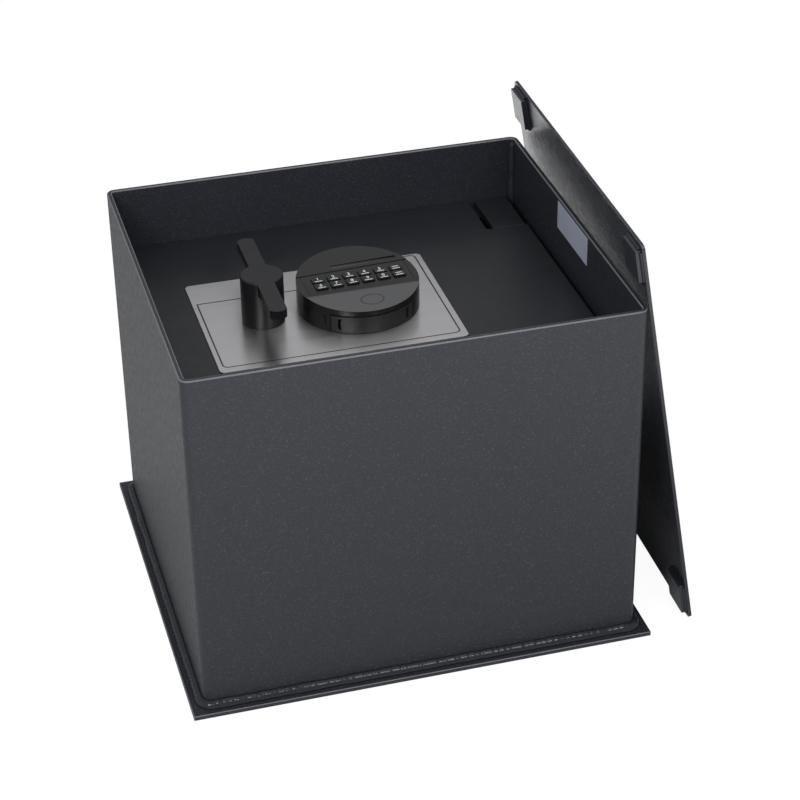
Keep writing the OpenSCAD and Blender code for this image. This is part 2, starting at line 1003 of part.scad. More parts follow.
module spindle_washer() {
    color("#9a9ca0")
        translate([handle_x, handle_y, cam_z + cam_t])
            difference() {
                cylinder(h = washer_t, d = washer_d);
                translate([0, 0, -cut])
                    cylinder(h = washer_t + 2 * cut, d = spindle_d + 2 * run_fit);
            }
}

module crank_spot() {
    translate([handle_x + crank_r * sin(crank_angle), handle_y + crank_r * cos(crank_angle), 0])
        children();
}

module cam_disc() {
    square_hole = square_w + 2 * run_fit;
    color("#8d8f92")
        difference() {
            translate([handle_x, handle_y, cam_z])
                cylinder(h = cam_t, d = cam_d);
            translate([handle_x, handle_y, cam_z - cut])
                cylinder(h = cam_pocket_t + cut, d = cam_screw_head_d + 2 * loose_fit);
            translate([handle_x - square_hole / 2, handle_y - square_hole / 2, cam_z])
                cube([square_hole, square_hole, cam_t + cut]);
            crank_spot()
                translate([0, 0, cam_z - cut])
                    cylinder(h = cam_t + 2 * cut, d = crank_pin_d + 2 * run_fit);
        }
}

module crank_pin() {
    color("#b5b7ba")
        crank_spot()
            translate([0, 0, carriage_z - cut])
                cylinder(h = cam_z + cam_t - carriage_z + cut, d = crank_pin_d);
}

module spindle_screw() {
    color("#b5b7ba")
        translate([handle_x, handle_y, cam_z + cam_pocket_t])
            screw(cam_screw_d, cam_screw_len, cam_screw_head_d, cam_screw_head_t);
}

// Bolt work

module carriage_outline() {
    half_notch = lock_bolt_w / 2 + notch_play;
    notch_x = lock_bolt_x + bolt_travel;
    notch_floor = tongue_y1 - lock_travel;
    difference() {
        union() {
            box_from(carriage_x0, bar_x1, -bar_half, bar_half);
            box_from(bar_x1 - cut, shoulder_x1, tongue_y0, shoulder_y1);
            box_from(bar_x1 - cut, tongue_x1, tongue_y0, tongue_y1);
        }
        polygon([[notch_x + half_notch, tongue_y1 + cut], [notch_x + half_notch, notch_floor],
                 [notch_x - half_notch, notch_floor],
                 [notch_x - half_notch - bolt_travel, tongue_y1],
                 [notch_x - half_notch - bolt_travel, tongue_y1 + cut]]);
        for (p = stud_places)
            translate([p[0] - stud_play / 2, p[1]])
                slot_shape(bolt_travel + stud_play, stud_d + stud_play);
        translate([handle_x, handle_y + crank_r * cos(crank_angle) - crank_slot_play])
            rotate([0, 0, 90])
                translate([0, -crank_r * sin(crank_angle)])
                    slot_shape(crank_r * (1 - cos(crank_angle)) + 2 * crank_slot_play, crank_slot_w);
        for (i = [-1:1])
            box_from(carriage_x0 - cut, carriage_x0 + bolt_head_t + bolt_head_room,
                     i * bolt_spacing - bolt_head_d / 2 - loose_fit,
                     i * bolt_spacing + bolt_head_d / 2 + loose_fit);
    }
}

module bolt_carriage() {
    color("#b0b2b5")
        difference() {
            union() {
                translate([0, 0, carriage_z])
                    linear_extrude(carriage_t)
                        carriage_outline();
                translate([flange_x0, -bar_half, bolt_z - flange_h / 2])
                    cube([flange_t, 2 * bar_half, flange_h]);
            }
            bolt_spots()
                translate([0, 0, -bolt_len - cut])
                    cylinder(h = bolt_len + flange_t + 2 * cut, d = bolt_screw_d + 2 * run_fit);
        }
}

// Each bolt's axis along +X from the left face of the flange
module bolt_spots() {
    for (i = [-1:1])
        translate([flange_x0, i * bolt_spacing, bolt_z])
            rotate([0, 90, 0])
                children();
}

module locking_bolts() {
    color("#c4c6c9")
        bolt_spots()
            difference() {
                mirror([0, 0, 1])
                    chamfered_rod(bolt_d, bolt_len, bolt_chamfer);
                translate([0, 0, -bolt_screw_in])
                    cylinder(h = bolt_screw_in + cut, d = bolt_screw_d + 2 * thread_fit);
            }
}

module bolt_screws() {
    color("#8d8f92")
        bolt_spots()
            translate([0, 0, flange_t])
                mirror([0, 0, 1])
                    screw(bolt_screw_d, flange_t + bolt_screw_in - face_gap, bolt_head_d, bolt_head_t);
}

// Keypad

module keypad_flat() {
    translate([keypad_x, keypad_y])
        rotate([0, 0, keypad_turn])
            children();
}

module on_face() {
    translate([keypad_x, keypad_y, face_top])
        rotate([0, 0, keypad_turn])
            children();
}

// The keypad's sloping top is the plane z = 0 of this frame
module on_top() {
    translate([0, 0, keypad_mid_h])
        rotate([keypad_tilt, 0, 0])
            children();
}

module keypad_screw_spots() {
    for (sx = [-1, 1])
        translate([sx * keypad_screw_x, keypad_screw_y])
            children();
}

module under_top(depth) {
    difference() {
        children();
        on_top()
            translate([-keypad_d, -keypad_d, -depth])
                cube([2 * keypad_d, 2 * keypad_d, keypad_back_h]);
    }
}

module key_spot(i) {
    column = (i - 1) % keys_in_row;
    row = floor((i - 1) / keys_in_row);
    middle = (keys_in_row - 1) / 2;
    translate([keys_x + (column - middle) * key_spacing_x, key_row_y - row * key_spacing_y, 0])
        children();
}

module keypad_shell() {
    color("#26272a")
        on_face() {
            difference() {
                under_top(0)
                    cylinder(h = keypad_back_h, r = keypad_r, $fn = 96);
                under_top(top_t)
                    translate([0, 0, -cut])
                        cylinder(h = keypad_back_h, r = shell_r, $fn = 96);
                shell_cuts();
            }
            on_top()
                for (p = shell_post_places)
                    translate([p[0], p[1], board_top_z])
                        cylinder(h = -board_top_z - top_t / 2, d = shell_post_d);
        }
}

module shell_cuts() {
    on_top() {
        translate([-keypad_d / 2 - cut, 0, 0])
            rotate([90, 0, 90])
                linear_extrude(keypad_d + 2 * cut)
                    top_profile();
        for (sx = [-1, 1])
            translate([sx * panel_line_x - panel_line_w / 2, panel_y0, -panel_drop - panel_line_deep])
                cube([panel_line_w, band_y0 - panel_y0, panel_drop]);
        translate([strip_x, strip_y, -strip_pocket])
            linear_extrude(keypad_back_h)
                square([strip_w + 2 * face_gap, strip_d + 2 * face_gap], center = true);
        for (i = [1:key_count])
            key_spot(i)
                translate([0, 0, -top_t - cut])
                    linear_extrude(keypad_back_h)
                        rounded_rect(key_w + 2 * key_gap, key_d + 2 * key_gap, key_r + key_gap);
    }
    rotate([0, 0, -90 - drawer_half_angle])
        rotate_extrude(angle = 2 * drawer_half_angle)
            box_from(shell_r - cut, keypad_r + cut, -cut, drawer_top + drawer_slot);
    for (a = slit_angles)
        rotate([0, 0, a - 90])
            translate([keypad_r - slit_deep, -slit_w / 2, slit_z0])
                cube([slit_deep + cut, slit_w, slit_z1 - slit_z0]);
}

// What is cut off the top, from the side: a ramp down to the keys' panel, then a band across the
// keypad and the back part
module top_profile() {
    polygon([[ramp_y0, 0], [panel_y0, -panel_drop], [band_y0, -panel_drop], [band_y0, -band_drop],
             [band_y1, -band_drop], [band_y1, -back_drop], [keypad_d, -back_drop],
             [keypad_d, keypad_back_h], [ramp_y0, keypad_back_h]]);
}

module keypad_base() {
    color("#1f2023")
        on_face()
            difference() {
                union() {
                    cylinder(h = base_plate_t, r = base_r, $fn = 96);
                    for (sx = [-1, 1])
                        translate([sx * (drawer_w / 2 + drawer_play + rail_rib_w / 2) - rail_rib_w / 2,
                                   rail_rib_y0, 0])
                            cube([rail_rib_w, rail_rib_y1 - rail_rib_y0, base_plate_t + rail_rib_h]);
                }
                translate([0, cable_y, -cut])
                    cylinder(h = base_plate_t + 2 * cut, d = cable_hole_d);
                keypad_screw_spots()
                    translate([0, 0, -cut])
                        cylinder(h = base_plate_t + 2 * cut, d = keypad_screw_d + 2 * loose_fit);
            }
}

module keypad_screws() {
    length = base_plate_t + plate_t + keypad_screw_bite;
    color("#9a9ca0")
        on_face()
            keypad_screw_spots()
                translate([0, 0, base_plate_t])
                    mirror([0, 0, 1])
                        screw(keypad_screw_d, length, keypad_screw_head_d, keypad_screw_head_t);
}

module window_strip() {
    color("#141518")
        on_face()
            on_top()
                translate([strip_x, strip_y, -strip_pocket])
                    linear_extrude(strip_t)
                        square([strip_w, strip_d], center = true);
}

module circuit_board() {
    color("#1f5a3a")
        on_face()
            on_top()
                translate([0, 0, board_top_z - board_t])
                    linear_extrude(board_t)
                        intersection() {
                            box_from(-board_w / 2, board_w / 2, board_y0, board_y1);
                            circle(board_r, $fn = 96);
                        }
}

module key_mat() {
    color("#3a3b3e")
        on_face()
            on_top()
                translate([keys_x, key_mat_y, board_top_z])
                    linear_extrude(key_mat_t)
                        rounded_rect(key_mat_w, key_mat_d, key_mat_r);
}

module key(i) {
    color("#101113")
        on_face()
            on_top()
                key_spot(i) {
                    translate([0, 0, key_flange_z])
                        linear_extrude(key_top - key_flange_z)
                            rounded_rect(key_w, key_d, key_r);
                    translate([0, 0, key_flange_z])
                        linear_extrude(key_flange_t)
                            rounded_rect(key_w + 2 * key_flange, key_d + 2 * key_flange, key_r);
                }
}

module battery_drawer() {
    angle = drawer_half_angle - drawer_play_angle;
    front_r0 = shell_r + front_fit;
    front_r1 = keypad_r - front_fit;
    tray_foot = base_plate_t + face_gap;
    tray_len = keypad_r + drawer_back_y;
    color("#222326")
        on_face()
            difference() {
                union() {
                    rotate([0, 0, -90 - angle])
                        rotate_extrude(angle = 2 * angle)
                            box_from(front_r0, front_r1, drawer_z0, drawer_top);
                    intersection() {
                        translate([-drawer_w / 2, -keypad_r, tray_foot])
                            cube([drawer_w, tray_len, drawer_side_h]);
                        cylinder(h = drawer_top, r = (front_r0 + front_r1) / 2, $fn = 96);
                    }
                }
                intersection() {
                    translate([-drawer_w / 2 + drawer_wall, -keypad_r, tray_foot + drawer_floor])
                        cube([drawer_w - 2 * drawer_wall, tray_len - drawer_wall, drawer_top]);
                    cylinder(h = keypad_back_h, r = front_r0 - drawer_wall / 2, $fn = 96);
                }
                for (a = [pull_slot_angle, -pull_slot_angle])
                    rotate([0, 0, a - 90])
                        translate([shell_r - cut, 0, (drawer_z0 + drawer_top) / 2])
                            rotate([0, 90, 0])
                                linear_extrude(shell_t + 2 * cut)
                                    translate([-(pull_slot_h - pull_slot_w) / 2, 0])
                                        slot_shape(pull_slot_h - pull_slot_w, pull_slot_w);
            }
}

module batteries() {
    cell_z = base_plate_t + face_gap + drawer_floor + cell_d / 2 + thread_fit;
    color("#7b7d80")
        on_face()
            for (i = [0:cell_count - 1])
                translate([0, cell_y0 + i * cell_spacing, cell_z])
                    rotate([0, (i % 2 == 0) ? 90 : -90, 0]) {
                        translate([0, 0, -cell_len / 2])
                            cylinder(h = cell_len, d = cell_d);
                        translate([0, 0, cell_len / 2])
                            cylinder(h = cell_nub_len, d = cell_nub_d);
                    }
}

module lock_cable() {
    board_under = keypad_mid_h + cable_y * tan(keypad_tilt)
        + (board_top_z - board_t) / cos(keypad_tilt) - face_gap;
    foot = lock_z + lock_h - face_top;
    color("#191919")
        on_face()
            translate([0, cable_y, foot])
                cylinder(h = board_under - foot, d = cable_d);
}

// Cover plate

// In this frame +Z runs up the leaning plate and +X points away from the body
module on_cover() {
    translate([cover_foot_x, cover_y, 0])
        rotate([0, 0, -cover_turn])
            rotate([0, -cover_lean, 0])
                children();
}

module cover_plate() {
    color("#3a3b3f")
        on_cover()
            translate([0, 0, cover_len / 2])
                rotate([0, 90, 0])
                    linear_extrude(cover_t)
                        rounded_rect(cover_len, cover_w, cover_r);
}

module lug_spots() {
    for (z = [lug_end_inset + lug_len / 2, cover_len - lug_end_inset - lug_len / 2], sy = [-1, 1])
        translate([0, sy * (cover_w / 2 - lug_side_inset - lug_w / 2), z])
            children();
}

module cover_lugs() {
    color("#33343a")
        on_cover()
            lug_spots()
                rotate([0, -90, 0])
                    linear_extrude(lug_t)
                        rounded_rect(lug_len, lug_w, lug_r);
}

// A bead along each side of a lug
module cover_lug_welds() {
    color("#4a4b50")
        on_cover()
            lug_spots()
                for (side = [0:3]) {
                    across = (side % 2 == 0) ? lug_w : lug_len;
                    along = (side % 2 == 0) ? lug_len : lug_w;
                    rotate([side * 90, 0, 0])
                        scale([-1, 1, 1])
                            translate([0, across / 2, -along / 2 + lug_r])
                                linear_extrude(along - 2 * lug_r)
                                    bead_section(lug_bead_leg);
                }
}

body_shell();
base_plate();
base_weld();
corner_weld();
back_ledge();
front_ledge();
left_ledge();
hinge_rail();
hinge_blocks();
hinge_pins();
floor_mat();
blank_label();
door_plate();
hinge_knuckles();
dead_bar();
face_plate();
hard_plate();
spindle_bush();
guide_studs();
guide_clips();
boltwork_cover();
cover_posts();
cover_screws();
lock_body();
lock_screws();
lock_cable();
keypad_base();
keypad_shell();
keypad_screws();
window_strip();
circuit_board();
key_mat();
handle();
spindle();
handle_screw();
spindle_washer();
cam_disc();
crank_pin();
spindle_screw();
bolt_carriage();
locking_bolts();
bolt_screws();
lock_bolt();
battery_drawer();
batteries();
cover_plate();
cover_lugs();
cover_lug_welds();
for (i = [1:key_count])
    key(i);
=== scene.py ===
"""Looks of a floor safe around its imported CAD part: materials, weld beads, keypad marks, light and camera.

Lengths are in metres, in the part's frame: the origin is the middle of the underside of the base,
+X runs to the right, +Y to the back and +Z up.
"""

import math

import bpy
from mathutils import Matrix, Vector, noise


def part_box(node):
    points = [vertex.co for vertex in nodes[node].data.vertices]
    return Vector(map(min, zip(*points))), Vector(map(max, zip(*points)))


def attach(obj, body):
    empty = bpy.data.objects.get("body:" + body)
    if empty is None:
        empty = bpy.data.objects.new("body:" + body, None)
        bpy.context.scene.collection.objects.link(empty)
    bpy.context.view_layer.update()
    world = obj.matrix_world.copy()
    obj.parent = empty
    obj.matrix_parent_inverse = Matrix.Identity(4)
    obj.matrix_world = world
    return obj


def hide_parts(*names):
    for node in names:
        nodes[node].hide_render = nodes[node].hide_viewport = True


MM = 0.001

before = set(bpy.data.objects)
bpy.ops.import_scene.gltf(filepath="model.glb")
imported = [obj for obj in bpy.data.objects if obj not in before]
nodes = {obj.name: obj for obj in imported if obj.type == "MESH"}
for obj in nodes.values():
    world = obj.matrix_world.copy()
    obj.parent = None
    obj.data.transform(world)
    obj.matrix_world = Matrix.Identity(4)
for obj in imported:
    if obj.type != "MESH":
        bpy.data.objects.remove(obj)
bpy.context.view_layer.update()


# Materials

# The range that most values of a noise texture fall in
NOISE_LOW = 0.3
NOISE_HIGH = 0.7


def srgb(value):
    """An sRGB value from 0 to 255 as linear light."""
    share = value / 255
    return share / 12.92 if share <= 0.04045 else ((share + 0.055) / 1.055) ** 2.4


def colour(red, green, blue):
    return (srgb(red), srgb(green), srgb(blue), 1.0)


class Surface:
    """A material built on one Principled shader, with its texture nodes in object coordinates."""

    def __init__(self, name, base, roughness, metallic=0.0):
        self.material = bpy.data.materials.new(name)
        self.material.use_nodes = True
        self.tree = self.material.node_tree
        self.shader = self.tree.nodes["Principled BSDF"]
        self.base = base
        self.shader.inputs["Base Color"].default_value = base
        self.shader.inputs["Roughness"].default_value = roughness
        self.shader.inputs["Metallic"].default_value = metallic
        self.coords = self.tree.nodes.new("ShaderNodeTexCoord")

    def node(self, kind, **settings):
        made = self.tree.nodes.new(kind)
        for key, value in settings.items():
            setattr(made, key, value)
        return made

    def link(self, source, target):
        self.tree.links.new(source, target)

    def noise(self, scale, detail, rough=0.5, stretch=(1, 1, 1)):
        mapping = self.node("ShaderNodeMapping")
        mapping.inputs["Scale"].default_value = stretch
        self.link(self.coords.outputs["Object"], mapping.inputs["Vector"])
        texture = self.node("ShaderNodeTexNoise")
        texture.inputs["Scale"].default_value = scale
        texture.inputs["Detail"].default_value = detail
        texture.inputs["Roughness"].default_value = rough
        self.link(mapping.outputs["Vector"], texture.inputs["Vector"])
        return texture.outputs["Fac"]

    def ramp(self, source, low, high, low_at=NOISE_LOW, high_at=NOISE_HIGH):
        """Maps a texture's value range to another range."""
        spread = self.node("ShaderNodeMapRange")
        spread.inputs["From Min"].default_value = low_at
        spread.inputs["From Max"].default_value = high_at
        spread.inputs["To Min"].default_value = low
        spread.inputs["To Max"].default_value = high
        self.link(source, spread.inputs["Value"])
        return spread.outputs["Result"]

    def mix_colours(self, first, second, factor):
        mix = self.node("ShaderNodeMix", data_type="RGBA")
        mix.inputs["A"].default_value = first
        mix.inputs["B"].default_value = second
        self.link(factor, mix.inputs["Factor"])
        self.link(mix.outputs["Result"], self.shader.inputs["Base Color"])

    def vary_colour(self, source, low, high, low_at=NOISE_LOW, high_at=NOISE_HIGH):
        """Scales the base colour between two brightnesses along a texture."""
        darker = [c * low for c in self.base[:3]] + [1.0]
        lighter = [c * high for c in self.base[:3]] + [1.0]
        self.mix_colours(darker, lighter, self.ramp(source, 0.0, 1.0, low_at, high_at))

    def vary_roughness(self, source, low, high):
        self.link(self.ramp(source, low, high), self.shader.inputs["Roughness"])

    def bump(self, source, depth, strength):
        bump = self.node("ShaderNodeBump")
        bump.inputs["Distance"].default_value = depth
        bump.inputs["Strength"].default_value = strength
        self.link(source, bump.inputs["Height"])
        self.link(bump.outputs["Normal"], self.shader.inputs["Normal"])


def powder_coat(name, base, grain, roughness, pitch):
    """Textured powder coat: an orange peel of small domes, with sparse bright dots painted into its colour
    as glints.
    """
    skin = Surface(name, base, roughness)
    # Painted glints: sparse dots up to three times as bright as the base colour stand in for the orange peel
    # catching the light
    painted_glints = skin.noise(scale=pitch, detail=2, rough=0.6)
    skin.vary_colour(painted_glints, low=0.95, high=3.0, low_at=0.58, high_at=0.74)
    skin.vary_roughness(skin.noise(scale=160, detail=2), roughness - 0.05, roughness + 0.07)
    skin.bump(skin.noise(scale=pitch, detail=2, rough=0.55), depth=0.5 * MM, strength=grain)
    return skin.material


def smooth_paint(name, base, roughness, grain=0.12):
    paint = Surface(name, base, roughness)
    paint.vary_colour(paint.noise(scale=14, detail=3), low=0.93, high=1.07)
    paint.vary_roughness(paint.noise(scale=90, detail=3), roughness - 0.04, roughness + 0.05)
    paint.bump(paint.noise(scale=300, detail=2), depth=0.3 * MM, strength=grain)
    return paint.material


def plain_metal(name, base, roughness):
    metal = Surface(name, base, roughness, metallic=1.0)
    metal.vary_colour(metal.noise(scale=60, detail=3), low=0.92, high=1.06)
    metal.vary_roughness(metal.noise(scale=200, detail=3), roughness - 0.06, roughness + 0.08)
    metal.bump(metal.noise(scale=900, detail=2), depth=0.03 * MM, strength=0.4)
    return metal.material


def moulded(name, base, roughness, spark=0.25):
    """Moulded plastic with a fine spark-eroded grain."""
    plastic = Surface(name, base, roughness)
    plastic.vary_colour(plastic.noise(scale=30, detail=2), low=0.96, high=1.04)
    plastic.vary_roughness(plastic.noise(scale=1400, detail=2), roughness - 0.04, roughness + 0.06)
    plastic.bump(plastic.noise(scale=2600, detail=2), depth=0.05 * MM, strength=spark)
    return plastic.material


def carpet_material():
    pile = Surface("needle felt", colour(34, 35, 39), roughness=0.95)
    pile.vary_colour(pile.noise(scale=700, detail=4, rough=0.7), low=0.6, high=1.5)
    pile.bump(pile.noise(scale=1100, detail=4, rough=0.7), depth=0.8 * MM, strength=0.9)
    return pile.material


def stainless_material():
    """Brushed sheet: its grain is drawn out along X, and its highlights spread across the grain."""
    sheet = Surface("brushed stainless", colour(214, 211, 212), roughness=0.3, metallic=1.0)
    along_x = (6, 900, 900)
    grain = sheet.noise(scale=1, detail=3, rough=0.6, stretch=along_x)
    sheet.vary_colour(grain, low=0.96, high=1.04)
    sheet.vary_roughness(sheet.noise(scale=1, detail=2, rough=0.6, stretch=along_x), low=0.28, high=0.33)
    sheet.bump(grain, depth=0.01 * MM, strength=0.2)
    sheet.shader.inputs["Anisotropic"].default_value = 0.8
    direction = sheet.node("ShaderNodeCombineXYZ")
    direction.inputs["Y"].default_value = 1.0
    turned = sheet.node("ShaderNodeVectorTransform", vector_type="VECTOR",
                        convert_from="OBJECT", convert_to="WORLD")
    sheet.link(direction.outputs["Vector"], turned.inputs["Vector"])
    sheet.link(turned.outputs["Vector"], sheet.shader.inputs["Tangent"])
    return sheet.material


SHELL_TONE = colour(28, 28, 29)
# Painted sheen: a lighter colour on the upward faces of the front of the top stands in for the light they
# reflect
PAINTED_SHEEN_TONE = colour(84, 84, 85)
PAINTED_SHEEN_Y = -11 * MM
PAINTED_SHEEN_BLUR = 1.2 * MM
# Upward parts of the normal at which a face starts to take the painted sheen of the top, and fully does
TOP_STARTS = 0.9
TOP_FULL = 0.98


def shell_material():
    """Moulded shell: the front of its top, before the keys, is painted lighter on its upward faces as a
    sheen of reflected light.
    """
    shell = Surface("keypad shell plastic", SHELL_TONE, roughness=0.24)
    shell.bump(shell.noise(scale=2600, detail=2), depth=0.05 * MM, strength=0.2)
    place = shell.node("ShaderNodeSeparateXYZ")
    shell.link(shell.coords.outputs["Object"], place.inputs["Vector"])
    facing = shell.node("ShaderNodeSeparateXYZ")
    shell.link(shell.coords.outputs["Normal"], facing.inputs["Vector"])
    front = shell.ramp(place.outputs["Y"], 1.0, 0.0, PAINTED_SHEEN_Y - PAINTED_SHEEN_BLUR, PAINTED_SHEEN_Y + PAINTED_SHEEN_BLUR)
    upward = shell.ramp(facing.outputs["Z"], 0.0, 1.0, TOP_STARTS, TOP_FULL)
    # The painted sheen's mask: the front of the top, on faces that point up
    zone = shell.node("ShaderNodeMath", operation="MULTIPLY")
    shell.link(front, zone.inputs[0])
    shell.link(upward, zone.inputs[1])
    shell.mix_colours(SHELL_TONE, PAINTED_SHEEN_TONE, zone.outputs["Value"])
    return shell.material


BODY_TONE = colour(48, 50, 57)

body_paint = powder_coat("body powder coat", BODY_TONE, grain=1.0, roughness=0.34, pitch=800)
cover_paint = powder_coat("cover powder coat", BODY_TONE, grain=0.35, roughness=0.17, pitch=1000)
weld_paint = smooth_paint("painted weld", colour(46, 47, 53), 0.18, grain=0.3)
door_paint = smooth_paint("door paint", colour(36, 38, 42), 0.38)
# Lighter paints for bevels: painted highlights along the rims and along the handle's edges
painted_edge_highlight = smooth_paint("painted edge highlight", colour(122, 123, 128), 0.3)
painted_handle_highlight = smooth_paint("painted handle edge highlight", colour(74, 74, 76), 0.25)
handle_paint = smooth_paint("handle finish", colour(26, 26, 28), 0.36, grain=0.06)
black_steel = smooth_paint("black oxide steel", colour(30, 30, 32), 0.35)
zinc = plain_metal("zinc plated steel", colour(178, 180, 184), 0.3)
hard_steel = plain_metal("ground hard plate", colour(120, 123, 128), 0.4)
cast_zinc = plain_metal("cast lock case", colour(150, 152, 156), 0.42)
brass = plain_metal("brass", colour(190, 160, 100), 0.3)
drawer_plastic = moulded("drawer plastic", colour(38, 38, 39), 0.4)
key_plastic = moulded("gloss black keys", colour(17, 17, 19), 0.16, spark=0.05)
strip_plastic = moulded("dark window", colour(18, 18, 21), 0.1, spark=0.02)
base_plastic = moulded("keypad base plastic", colour(30, 30, 32), 0.5)
board_green = moulded("circuit board", colour(25, 90, 55), 0.35)
key_rubber = moulded("contact mat rubber", colour(70, 70, 74), 0.7)
cable_rubber = moulded("cable sleeve", colour(26, 26, 27), 0.55)
cell_jacket = moulded("cell jacket", colour(88, 90, 94), 0.25)
mark_white = moulded("white key print", colour(225, 226, 228), 0.5, spark=0.05)
line_black = moulded("black line print", colour(22, 22, 23), 0.4, spark=0.05)
film = moulded("label film", colour(190, 196, 214), 0.38, spark=0.1)
carpet = carpet_material()
stainless = stainless_material()
shell_plastic = shell_material()

KEY_NAMES = tuple("key_%d" % i for i in range(1, 13))
NODE_MATERIALS = {
    body_paint: ("body_shell", "base_plate", "boltwork_cover"),
    cover_paint: ("cover_plate", "cover_lugs"),
    weld_paint: ("base_weld", "corner_weld", "cover_lug_welds"),
    door_paint: ("door_plate", "back_ledge", "front_ledge", "left_ledge", "hinge_rail",
                 "hinge_blocks", "hinge_knuckles", "dead_bar"),
    handle_paint: ("handle",),
    stainless: ("face_plate",),
    zinc: ("hinge_pins", "guide_studs", "cover_posts", "cover_screws", "lock_screws",
           "keypad_screws", "spindle", "spindle_washer", "cam_disc", "crank_pin",
           "spindle_screw", "bolt_carriage", "locking_bolts"),
    hard_steel: ("hard_plate",),
    cast_zinc: ("lock_body",),
    brass: ("spindle_bush", "lock_bolt"),
    black_steel: ("guide_clips", "handle_screw", "bolt_screws"),
    shell_plastic: ("keypad_shell",),
    drawer_plastic: ("battery_drawer",),
    base_plastic: ("keypad_base",),
    key_plastic: KEY_NAMES,
    strip_plastic: ("window_strip",),
    board_green: ("circuit_board",),
    key_rubber: ("key_mat",),
    cable_rubber: ("lock_cable",),
    cell_jacket: ("batteries",),
    carpet: ("floor_mat",),
    film: ("blank_label",),
}

for material, names in NODE_MATERIALS.items():
    for name in names:
        mesh = nodes[name].data
        mesh.materials.clear()
        mesh.materials.append(material)


# Softened edges on the CAD pieces, some with a painted highlight on their bevels

EDGE_MM = {
    "body_shell": 0.9, "base_plate": 0.6, "door_plate": 0.5, "hinge_blocks": 0.9,
    "cover_plate": 0.5, "cover_lugs": 0.6, "handle": 1.1, "keypad_shell": 0.35,
    "face_plate": 0.2, "battery_drawer": 0.25, "back_ledge": 0.4, "front_ledge": 0.4,
    "left_ledge": 0.4, "hinge_rail": 0.4, "dead_bar": 0.4, "hinge_knuckles": 0.4,
    "boltwork_cover": 0.3, "bolt_carriage": 0.3, "locking_bolts": 0.2, "lock_body": 0.8,
    "lock_bolt": 0.3, "cam_disc": 0.3, "keypad_base": 0.2, "floor_mat": 0.5,
}
EDGE_MM.update(dict.fromkeys(KEY_NAMES, 0.35))
# Painted highlights: these pieces' bevels take a lighter paint that stands in for the bright lines light
# draws along their edges
EDGE_HIGHLIGHT_PAINTS = {
    "body_shell": painted_edge_highlight, "base_plate": painted_edge_highlight, "cover_plate": painted_edge_highlight,
    "hinge_blocks": painted_edge_highlight, "door_plate": painted_edge_highlight, "handle": painted_handle_highlight,
}
MERGE_GAP = 0.004 * MM
BEVEL_ANGLE = math.radians(32)
BEVEL_SEGMENTS = 3
FACE_WEIGHT = 100


def soften(node, width_mm, highlight_paint):
    """Rounds a piece's edges, with a painted highlight on the bevel where a highlight paint is given."""
    bevel = node.modifiers.new("edges", "BEVEL")
    bevel.width = width_mm * MM
    bevel.segments = BEVEL_SEGMENTS
    bevel.limit_method = "ANGLE"
    bevel.angle_limit = BEVEL_ANGLE
    bevel.use_clamp_overlap = True
    # The bevel's faces take the lighter paint, a painted highlight
    if highlight_paint is not None:
        node.data.materials.append(highlight_paint)
        bevel.material = 1


# Normals weighted by face area keep the large flat faces flat beside their bevels
for name, node in nodes.items():
    node.data.shade_smooth()
    merge = node.modifiers.new("weld", "WELD")
    merge.merge_threshold = MERGE_GAP
    if name in EDGE_MM:
        soften(node, EDGE_MM[name], EDGE_HIGHLIGHT_PAINTS.get(name))
    flatten = node.modifiers.new("flat faces", "WEIGHTED_NORMAL")
    flatten.mode = "FACE_AREA"
    flatten.weight = FACE_WEIGHT
    flatten.keep_sharp = False


# Meshes made here

def sweep(stations, closed):
    """A mesh from rings of points, one ring per station."""
    count = len(stations[0])
    points = [p for ring in stations for p in ring]
    faces = []
    last = len(stations) if closed else len(stations) - 1
    for i in range(last):
        a = i * count
        b = ((i + 1) % len(stations)) * count
        for j in range(count):
            k = (j + 1) % count
            faces.append((a + j, b + j, b + k, a + k))
    if not closed:
        faces.append(tuple(range(count)))
        faces.append(tuple(range(len(points) - 1, len(points) - 1 - count, -1)))
    return points, faces


def slab(x0, x1, y0, y1, z0, z1):
    points = [(x, y, z) for z in (z0, z1) for x, y in ((x0, y0), (x1, y0), (x1, y1), (x0, y1))]
    faces = [(3, 2, 1, 0), (4, 5, 6, 7), (0, 1, 5, 4), (1, 2, 6, 5), (2, 3, 7, 6), (3, 0, 4, 7)]
    return points, faces


def joined(first, second):
    """Two meshes, each given as points and faces, as one."""
    points, faces = first
    more_points, more_faces = second
    moved = [tuple(corner + len(points) for corner in face) for face in more_faces]
    return points + more_points, faces + moved


def mesh_piece(name, points, faces, material, smooth=True):
    mesh = bpy.data.meshes.new(name)
    mesh.from_pydata([tuple(p) for p in points], [], faces)
    mesh.validate()
    mesh.update()
    mesh.materials.append(material)
    if smooth:
        mesh.shade_smooth()
    piece = bpy.data.objects.new(name, mesh)
    bpy.context.scene.collection.objects.link(piece)
    return piece


# Weld beads, laid as sweeps with the ripples of a hand-run bead

UP = Vector((0, 0, 1))
LEAST_LEG_SHARE = 0.88
RIPPLE_SHARE = 0.04
RIPPLE_SHARPNESS = 0.7
WANDER_SHARE = 0.14
WANDERS_PER_M = 45
LUMP_SHARE = 0.06
LUMPS_PER_M = 160
LUMP_SHIFT = 3.1
ARC_STEPS = 7

# The bend of the body's corners, as in the part's source
BODY_BEND = 7 * MM
BEND_STEPS = 12
BASE_STEP = 1.1 * MM
BASE_RIPPLE = 5 * MM
BASE_SEED = 1.0
CORNER_STEP = 0.7 * MM
CORNER_RIPPLE = 4 * MM
CORNER_SEED = 7.0
CORNER_FADE = 2 * MM
CORNER_TIP = 0.3 * MM


